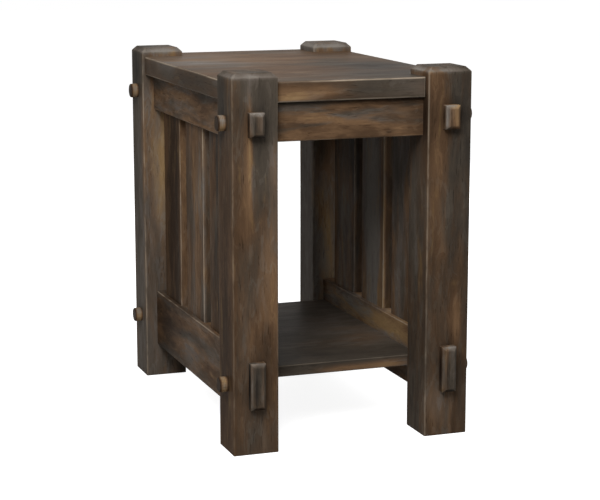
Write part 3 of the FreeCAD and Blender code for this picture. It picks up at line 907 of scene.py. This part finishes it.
# The driver's recess is cut into the head
recess_height = add(screw_tree, "ShaderNodeMath", {0: sizes["Recess Depth"], 1: 2.0}, operation="MULTIPLY")
recess = add(screw_tree, "GeometryNodeMeshCube", {"Size": add(screw_tree, "ShaderNodeCombineXYZ", {
    "X": sizes["Recess Size"], "Y": sizes["Recess Size"], "Z": recess_height.outputs[0]}).outputs[0]})
turned = add(screw_tree, "GeometryNodeMeshBoolean", {
    "Mesh 1": turned.outputs[0], "Mesh 2": recess.outputs["Mesh"]}, operation="DIFFERENCE", solver="EXACT")

# The thread is a ridge that winds round the core, and runs out at both its ends
thread_length = add(screw_tree, "ShaderNodeMath", {
    0: point_start, 1: sizes["Plain Length"]}, operation="SUBTRACT").outputs[0]
turns = add(screw_tree, "ShaderNodeMath", {
    0: thread_length, 1: sizes["Pitch"]}, operation="DIVIDE").outputs[0]
winding = add(screw_tree, "GeometryNodeCurveSpiral", {
    "Resolution": sizes["Steps"], "Rotations": turns, "Start Radius": core, "End Radius": core,
    "Height": thread_length, "Reverse": True})
winding = add(screw_tree, "GeometryNodeSetCurveNormal", {"Curve": winding.outputs[0]}, mode="Z_UP")
winding = add(screw_tree, "GeometryNodeTransform", {
    "Geometry": winding.outputs[0],
    "Translation": add(screw_tree, "ShaderNodeCombineXYZ", {"Z": sizes["Plain Length"]}).outputs[0]})
ridge = add(screw_tree, "GeometryNodeCurvePrimitiveCircle", {
    "Resolution": THREAD_SIDES, "Radius": sizes["Thread Depth"]}, mode="RADIUS")
share = add(screw_tree, "GeometryNodeSplineParameter").outputs["Factor"]
from_middle = add(screw_tree, "ShaderNodeMath", {0: share, 1: 0.5}, operation="SUBTRACT")
from_middle = add(screw_tree, "ShaderNodeMath", {0: from_middle.outputs[0]}, operation="ABSOLUTE")
running_out = add(screw_tree, "ShaderNodeMapRange", {
    0: from_middle.outputs[0], 1: FULL_THREAD, 2: 0.5, 3: 1.0, 4: THREAD_AT_END})
thread = add(screw_tree, "GeometryNodeCurveToMesh", {
    "Curve": winding.outputs[0], "Profile Curve": ridge.outputs[0], "Scale": running_out.outputs[0],
    "Fill Caps": True})
screw = add(screw_tree, "GeometryNodeJoinGeometry", {"Geometry": turned.outputs["Mesh"]})
screw_tree.links.new(thread.outputs[0], screw.inputs["Geometry"])
put_on_points(screw_tree, screw.outputs[0], sizes["Geometry"], sizes["Steel"],
              Rotation=pointing(screw_tree, sizes["Sideways"]))

# Zinc plate on steel: a pale, slightly yellow grey metal, a little dulled by fine crystals.
# They are 0.05 mm across on a real screw, and are drawn at 1 mm so that they show.
steel = empty_material("zinc_plated_steel")
tree = steel.node_tree
place = add(tree, "ShaderNodeTexCoord").outputs["Object"]
crystals = add(tree, "ShaderNodeTexNoise", {"Vector": place, "Scale": 1 / MM, "Detail": 3.0}).outputs["Fac"]
dull = add(tree, "ShaderNodeMapRange", {0: crystals, 1: 0.3, 2: 0.7, 3: 0.28, 4: 0.45})
plated = add(tree, "ShaderNodeMix", {
    0: crystals, 6: linear(ZINC_DULL), 7: linear(ZINC_BRIGHT)}, data_type="RGBA")
uneven = add(tree, "ShaderNodeBump", {"Strength": 0.2, "Distance": 0.05 * MM, "Height": crystals})
shader = add(tree, "ShaderNodeBsdfPrincipled", {
    "Base Color": plated.outputs[2], "Metallic": 1.0, "Roughness": dull.outputs[0],
    "Normal": uneven.outputs[0]})
add(tree, "ShaderNodeOutputMaterial", {"Surface": shader.outputs[0]})

shelf_seats, cleat_seats, button_seats = [], [], []
for side_name, side in (("left", -1), ("right", 1)):
    low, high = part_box("shelf_cleat_" + side_name)
    inner_x = side * min(abs(low.x), abs(high.x))
    for share in SHELF_SCREW_SHARES:
        shelf_seats.append(((low.x + high.x) / 2, low.y + share * (high.y - low.y), low.z))
    for share in CLEAT_SCREW_SHARES:
        cleat_seats.append((inner_x, low.y + share * (high.y - low.y), (low.z + high.z) / 2))
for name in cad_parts:
    if name.startswith("top_button"):
        low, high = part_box(name)
        inward = Vector(BUTTON_WAYS[name.split("_")[2]])
        seat = (low + high) / 2 + inward * (abs((high - low).dot(inward)) / 2 - BUTTON_SCREW_INSET)
        button_seats.append((seat.x, seat.y, low.z))
for name, seats, length, sideways in (
    ("cleat_screws", cleat_seats, 36.0 * MM, 1.0),
    ("shelf_screws", shelf_seats, 32.0 * MM, 0.0),
    ("button_screws", button_seats, 36.0 * MM, 0.0),
):
    piece = grown_piece(name + "_turned", screw_tree, {
        **SCREW_SIZES, "Length": length, "Steps": SCREW_STEPS, "Sideways": sideways, "Steel": steel}, seats)
    shade(piece)
    set_on_frame(piece, [name], steel)


# Studio: a sheet of white paper for a floor, under a white surround, with soft boxes like a photographer's.
# Both glow white on the rays that see them. The floor's glow doesn't light the table, and the surround's
# does by a quarter.

FLOOR_HALF = 12.0
FLOOR_GLOW = 0.9
SURROUND_LIGHT = 0.25
PAPER_GREY = "#b8b8b8"
WHITE = "#ffffff"
LIGHT_AIM = Vector((0, 0, 0.3))

floor_mesh = bpy.data.meshes.new("floor")
floor_corners = [(x * FLOOR_HALF, y * FLOOR_HALF, 0) for x, y in ((-1, -1), (1, -1), (1, 1), (-1, 1))]
floor_mesh.from_pydata(floor_corners, [], [(0, 1, 2, 3)])
floor = in_scene("floor", floor_mesh)


def background_rays(tree):
    """1 on the rays that show the background: to the camera, and by way of gloss and glass."""
    rays = add(tree, "ShaderNodeLightPath").outputs
    shown = add(tree, "ShaderNodeMath", {
        0: rays["Is Camera Ray"], 1: rays["Is Glossy Ray"]}, operation="MAXIMUM")
    return add(tree, "ShaderNodeMath", {
        0: shown.outputs[0], 1: rays["Is Transmission Ray"]}, operation="MAXIMUM").outputs[0]


# Matt white paper: it looks evenly white and takes the table's shadow. Its glow tops up a grey colour.
paper = empty_material("matt_white_paper")
tree = paper.node_tree
seen = add(tree, "ShaderNodeMath", {0: background_rays(tree), 1: FLOOR_GLOW}, operation="MULTIPLY")
matt = add(tree, "ShaderNodeBsdfDiffuse", {"Color": linear(PAPER_GREY)})
glow = add(tree, "ShaderNodeEmission", {"Color": linear(WHITE), "Strength": seen.outputs[0]})
both = add(tree, "ShaderNodeAddShader", {0: matt.outputs[0], 1: glow.outputs[0]})
add(tree, "ShaderNodeOutputMaterial", {"Surface": both.outputs[0]})
floor_mesh.materials.append(paper)

world = bpy.data.worlds.new("white_surround")
bpy.context.scene.world = world
world.use_nodes = True
tree = world.node_tree
tree.nodes.clear()
strength = add(tree, "ShaderNodeMapRange", {0: background_rays(tree), 3: SURROUND_LIGHT, 4: 1.0})
surround = add(tree, "ShaderNodeBackground", {"Color": linear(WHITE), "Strength": strength.outputs[0]})
add(tree, "ShaderNodeOutputWorld", {"Surface": surround.outputs[0]})


def softbox(name, place, size, power, in_gloss=True):
    """Square soft light that faces the table's middle, and shows in its gloss or not."""
    lamp = bpy.data.lights.new(name, "AREA")
    lamp.shape = "SQUARE"
    lamp.size = size
    lamp.energy = power
    holder = in_scene(name, lamp)
    holder.location = place
    holder.visible_glossy = in_gloss
    holder.rotation_euler = (LIGHT_AIM - Vector(place)).to_track_quat("-Z", "Y").to_euler()


softbox("key", (-1.22, -1.95, 2.2), 1.2, 80)
softbox("overhead", (0.2, -0.7, 2.8), 1.6, 24)
softbox("fill", (1.5, 2.1, 1.3), 1.6, 45, in_gloss=False)


# Camera: a long lens at the photograph's height and side, worked out from the table's edges there.
# It looks a little down at the table's middle, with no shift, so that other views aren't displaced.

CAMERA_AZIMUTH = math.radians(-19.72)
CAMERA_ELEVATION = math.radians(10.87)
CAMERA_DISTANCE = 3.173
CAMERA_AIM = Vector((0.0181, 0.0, 0.2664))
CAMERA_LENS = 107.9
FILM_WIDTH = 36.0
CAMERA_REACH = 60.0

camera_data = bpy.data.cameras.new("camera")
camera_data.lens = CAMERA_LENS
camera_data.sensor_width = FILM_WIDTH
camera_data.clip_end = CAMERA_REACH
camera = in_scene("camera", camera_data)
way = Vector((math.sin(CAMERA_AZIMUTH) * math.cos(CAMERA_ELEVATION),
              -math.cos(CAMERA_AZIMUTH) * math.cos(CAMERA_ELEVATION), math.sin(CAMERA_ELEVATION)))
camera.location = CAMERA_AIM + way * CAMERA_DISTANCE
camera.rotation_euler = (-way).to_track_quat("-Z", "Y").to_euler()
bpy.context.scene.camera = camera
bpy.context.scene.view_settings.view_transform = "Standard"
